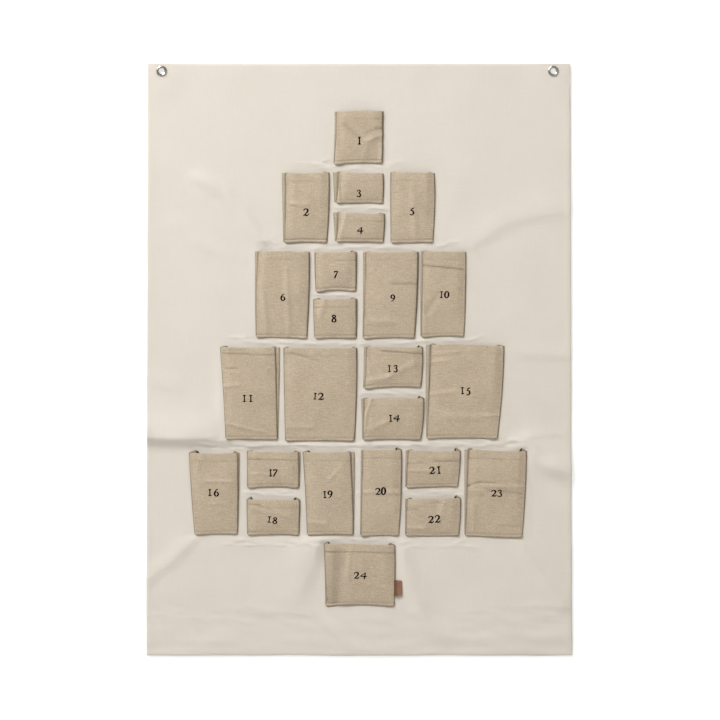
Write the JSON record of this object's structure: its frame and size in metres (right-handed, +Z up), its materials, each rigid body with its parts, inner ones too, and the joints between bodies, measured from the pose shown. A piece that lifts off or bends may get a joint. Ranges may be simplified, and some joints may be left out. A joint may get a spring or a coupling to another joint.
{
  "type": "fabric advent calendar",
  "caption": "Canvas wall hanging with pleated linen pockets that open at the top, sewn on in the shape of a fir tree, hung from two eyelets in its top hem.",
  "frame": {"origin": "on the back of the top hem, in the middle of the canvas's width, at the height of the eyelet centres", "axes": "+Z up, +X to the right as one looks at the pockets, +Y into the wall"},
  "size_m": [0.7558, 0.0132, 1.05],
  "materials": {
    "canvas": "off-white cotton canvas, plain weave",
    "linen": "natural linen, plain weave with slubs",
    "nickel": "bright nickel plate",
    "leather": "smooth tan-brown leather, matt",
    "thread": "dark brown embroidery thread"
  },
  "bodies": {
    "hanging": {"backing_canvas": "canvas", "eyelet_left": "nickel", "eyelet_right": "nickel", "eyelet_washer_left": "nickel", "eyelet_washer_right": "nickel", "pocket_01_gusset": "linen", "pocket_02_gusset": "linen", "pocket_03_gusset": "linen", "pocket_04_gusset": "linen", "pocket_05_gusset": "linen", "pocket_06_gusset": "linen", "pocket_07_gusset": "linen", "pocket_08_gusset": "linen", "pocket_09_gusset": "linen", "pocket_10_gusset": "linen", "pocket_11_gusset": "linen", "pocket_12_gusset": "linen", "pocket_13_gusset": "linen", "pocket_14_gusset": "linen", "pocket_15_gusset": "linen", "pocket_16_gusset": "linen", "pocket_17_gusset": "linen", "pocket_18_gusset": "linen", "pocket_19_gusset": "linen", "pocket_20_gusset": "linen", "pocket_21_gusset": "linen", "pocket_22_gusset": "linen", "pocket_23_gusset": "linen", "pocket_24_gusset": "linen"},
    "pocket_01": {"pocket_01_front": "linen"},
    "pocket_02": {"pocket_02_front": "linen"},
    "pocket_03": {"pocket_03_front": "linen"},
    "pocket_04": {"pocket_04_front": "linen"},
    "pocket_05": {"pocket_05_front": "linen"},
    "pocket_06": {"pocket_06_front": "linen"},
    "pocket_07": {"pocket_07_front": "linen"},
    "pocket_08": {"pocket_08_front": "linen"},
    "pocket_09": {"pocket_09_front": "linen"},
    "pocket_10": {"pocket_10_front": "linen"},
    "pocket_11": {"pocket_11_front": "linen"},
    "pocket_12": {"pocket_12_front": "linen"},
    "pocket_13": {"pocket_13_front": "linen"},
    "pocket_14": {"pocket_14_front": "linen"},
    "pocket_15": {"pocket_15_front": "linen"},
    "pocket_16": {"pocket_16_front": "linen"},
    "pocket_17": {"pocket_17_front": "linen"},
    "pocket_18": {"pocket_18_front": "linen"},
    "pocket_19": {"pocket_19_front": "linen"},
    "pocket_20": {"pocket_20_front": "linen"},
    "pocket_21": {"pocket_21_front": "linen"},
    "pocket_22": {"pocket_22_front": "linen"},
    "pocket_23": {"pocket_23_front": "linen"},
    "pocket_24": {"pocket_24_front": "linen", "leather_tag": "leather"}
  },
  "joints": [
    {"name": "pocket_01_open", "type": "hinge", "parent": "hanging", "child": "pocket_01", "pos_m": [-0.00191, -0.0027, -0.1677], "axis": [1, 0, 0], "range_deg": [0, 8.3], "stiffness_Nm_per_rad": 0.02, "springref_deg": -8.59, "deforming": ["pocket_01_gusset"]},
    {"name": "pocket_02_open", "type": "hinge", "parent": "hanging", "child": "pocket_02", "pos_m": [-0.09519, -0.0027, -0.30795], "axis": [1, 0, 0], "range_deg": [0, 6.35], "stiffness_Nm_per_rad": 0.02, "springref_deg": -8.59, "deforming": ["pocket_02_gusset"]},
    {"name": "pocket_03_open", "type": "hinge", "parent": "hanging", "child": "pocket_03", "pos_m": [0.00067, -0.0027, -0.23934], "axis": [1, 0, 0], "range_deg": [0, 14], "stiffness_Nm_per_rad": 0.02, "springref_deg": -8.59, "deforming": ["pocket_03_gusset"]},
    {"name": "pocket_04_open", "type": "hinge", "parent": "hanging", "child": "pocket_04", "pos_m": [0.00067, -0.0027, -0.30795], "axis": [1, 0, 0], "range_deg": [0, 14.58], "stiffness_Nm_per_rad": 0.02, "springref_deg": -8.59, "deforming": ["pocket_04_gusset"]},
    {"name": "pocket_05_open", "type": "hinge", "parent": "hanging", "child": "pocket_05", "pos_m": [0.09358, -0.0027, -0.30795], "axis": [1, 0, 0], "range_deg": [0, 6.35], "stiffness_Nm_per_rad": 0.02, "springref_deg": -8.59, "deforming": ["pocket_05_gusset"]},
    {"name": "pocket_06_open", "type": "hinge", "parent": "hanging", "child": "pocket_06", "pos_m": [-0.13739, -0.0027, -0.4767], "axis": [1, 0, 0], "range_deg": [0, 5.1], "stiffness_Nm_per_rad": 0.02, "springref_deg": -8.59, "deforming": ["pocket_06_gusset"]},
    {"name": "pocket_07_open", "type": "hinge", "parent": "hanging", "child": "pocket_07", "pos_m": [-0.04138, -0.0027, -0.39326], "axis": [1, 0, 0], "range_deg": [0, 10.9], "stiffness_Nm_per_rad": 0.02, "springref_deg": -8.59, "deforming": ["pocket_07_gusset"]},
    {"name": "pocket_08_open", "type": "hinge", "parent": "hanging", "child": "pocket_08", "pos_m": [-0.04138, -0.0027, -0.4767], "axis": [1, 0, 0], "range_deg": [0, 10.9], "stiffness_Nm_per_rad": 0.02, "springref_deg": -8.59, "deforming": ["pocket_08_gusset"]},
    {"name": "pocket_09_open", "type": "hinge", "parent": "hanging", "child": "pocket_09", "pos_m": [0.05337, -0.0027, -0.4767], "axis": [1, 0, 0], "range_deg": [0, 5.1], "stiffness_Nm_per_rad": 0.02, "springref_deg": -8.59, "deforming": ["pocket_09_gusset"]},
    {"name": "pocket_10_open", "type": "hinge", "parent": "hanging", "child": "pocket_10", "pos_m": [0.1484, -0.0027, -0.4757], "axis": [1, 0, 0], "range_deg": [0, 5.1], "stiffness_Nm_per_rad": 0.02, "springref_deg": -8.59, "deforming": ["pocket_10_gusset"]},
    {"name": "pocket_11_open", "type": "hinge", "parent": "hanging", "child": "pocket_11", "pos_m": [-0.19064, -0.0027, -0.65895], "axis": [1, 0, 0], "range_deg": [0, 4.71], "stiffness_Nm_per_rad": 0.02, "springref_deg": -8.59, "deforming": ["pocket_11_gusset"]},
    {"name": "pocket_12_open", "type": "hinge", "parent": "hanging", "child": "pocket_12", "pos_m": [-0.06909, -0.0027, -0.65995], "axis": [1, 0, 0], "range_deg": [0, 4.71], "stiffness_Nm_per_rad": 0.02, "springref_deg": -8.59, "deforming": ["pocket_12_gusset"]},
    {"name": "pocket_13_open", "type": "hinge", "parent": "hanging", "child": "pocket_13", "pos_m": [0.05878, -0.0027, -0.56526], "axis": [1, 0, 0], "range_deg": [0, 10.5], "stiffness_Nm_per_rad": 0.02, "springref_deg": -8.59, "deforming": ["pocket_13_gusset"]},
    {"name": "pocket_14_open", "type": "hinge", "parent": "hanging", "child": "pocket_14", "pos_m": [0.05878, -0.0027, -0.65895], "axis": [1, 0, 0], "range_deg": [0, 10.09], "stiffness_Nm_per_rad": 0.02, "springref_deg": -8.59, "deforming": ["pocket_14_gusset"]},
    {"name": "pocket_15_open", "type": "hinge", "parent": "hanging", "child": "pocket_15", "pos_m": [0.18396, -0.0027, -0.65545], "axis": [1, 0, 0], "range_deg": [0, 4.71], "stiffness_Nm_per_rad": 0.02, "springref_deg": -8.59, "deforming": ["pocket_15_gusset"]},
    {"name": "pocket_16_open", "type": "hinge", "parent": "hanging", "child": "pocket_16", "pos_m": [-0.25409, -0.0027, -0.82845], "axis": [1, 0, 0], "range_deg": [0, 5.27], "stiffness_Nm_per_rad": 0.02, "springref_deg": -8.59, "deforming": ["pocket_16_gusset"]},
    {"name": "pocket_17_open", "type": "hinge", "parent": "hanging", "child": "pocket_17", "pos_m": [-0.15154, -0.0027, -0.74282], "axis": [1, 0, 0], "range_deg": [0, 12.08], "stiffness_Nm_per_rad": 0.02, "springref_deg": -8.59, "deforming": ["pocket_17_gusset"]},
    {"name": "pocket_18_open", "type": "hinge", "parent": "hanging", "child": "pocket_18", "pos_m": [-0.15154, -0.0027, -0.82845], "axis": [1, 0, 0], "range_deg": [0, 12.08], "stiffness_Nm_per_rad": 0.02, "springref_deg": -8.59, "deforming": ["pocket_18_gusset"]},
    {"name": "pocket_19_open", "type": "hinge", "parent": "hanging", "child": "pocket_19", "pos_m": [-0.05204, -0.0027, -0.82845], "axis": [1, 0, 0], "range_deg": [0, 5.27], "stiffness_Nm_per_rad": 0.02, "springref_deg": -8.59, "deforming": ["pocket_19_gusset"]},
    {"name": "pocket_20_open", "type": "hinge", "parent": "hanging", "child": "pocket_20", "pos_m": [0.03733, -0.0027, -0.8272], "axis": [1, 0, 0], "range_deg": [0, 5.27], "stiffness_Nm_per_rad": 0.02, "springref_deg": -8.59, "deforming": ["pocket_20_gusset"]},
    {"name": "pocket_21_open", "type": "hinge", "parent": "hanging", "child": "pocket_21", "pos_m": [0.13009, -0.0027, -0.74282], "axis": [1, 0, 0], "range_deg": [0, 12.08], "stiffness_Nm_per_rad": 0.02, "springref_deg": -8.59, "deforming": ["pocket_21_gusset"]},
    {"name": "pocket_22_open", "type": "hinge", "parent": "hanging", "child": "pocket_22", "pos_m": [0.13009, -0.0027, -0.82945], "axis": [1, 0, 0], "range_deg": [0, 12.08], "stiffness_Nm_per_rad": 0.02, "springref_deg": -8.59, "deforming": ["pocket_22_gusset"]},
    {"name": "pocket_23_open", "type": "hinge", "parent": "hanging", "child": "pocket_23", "pos_m": [0.23914, -0.0027, -0.83095], "axis": [1, 0, 0], "range_deg": [0, 5.27], "stiffness_Nm_per_rad": 0.02, "springref_deg": -8.59, "deforming": ["pocket_23_gusset"]},
    {"name": "pocket_24_open", "type": "hinge", "parent": "hanging", "child": "pocket_24", "pos_m": [0.00127, -0.0027, -0.9532], "axis": [1, 0, 0], "range_deg": [0, 7.15], "stiffness_Nm_per_rad": 0.02, "springref_deg": -8.59, "deforming": ["pocket_24_gusset"]}
  ]
}
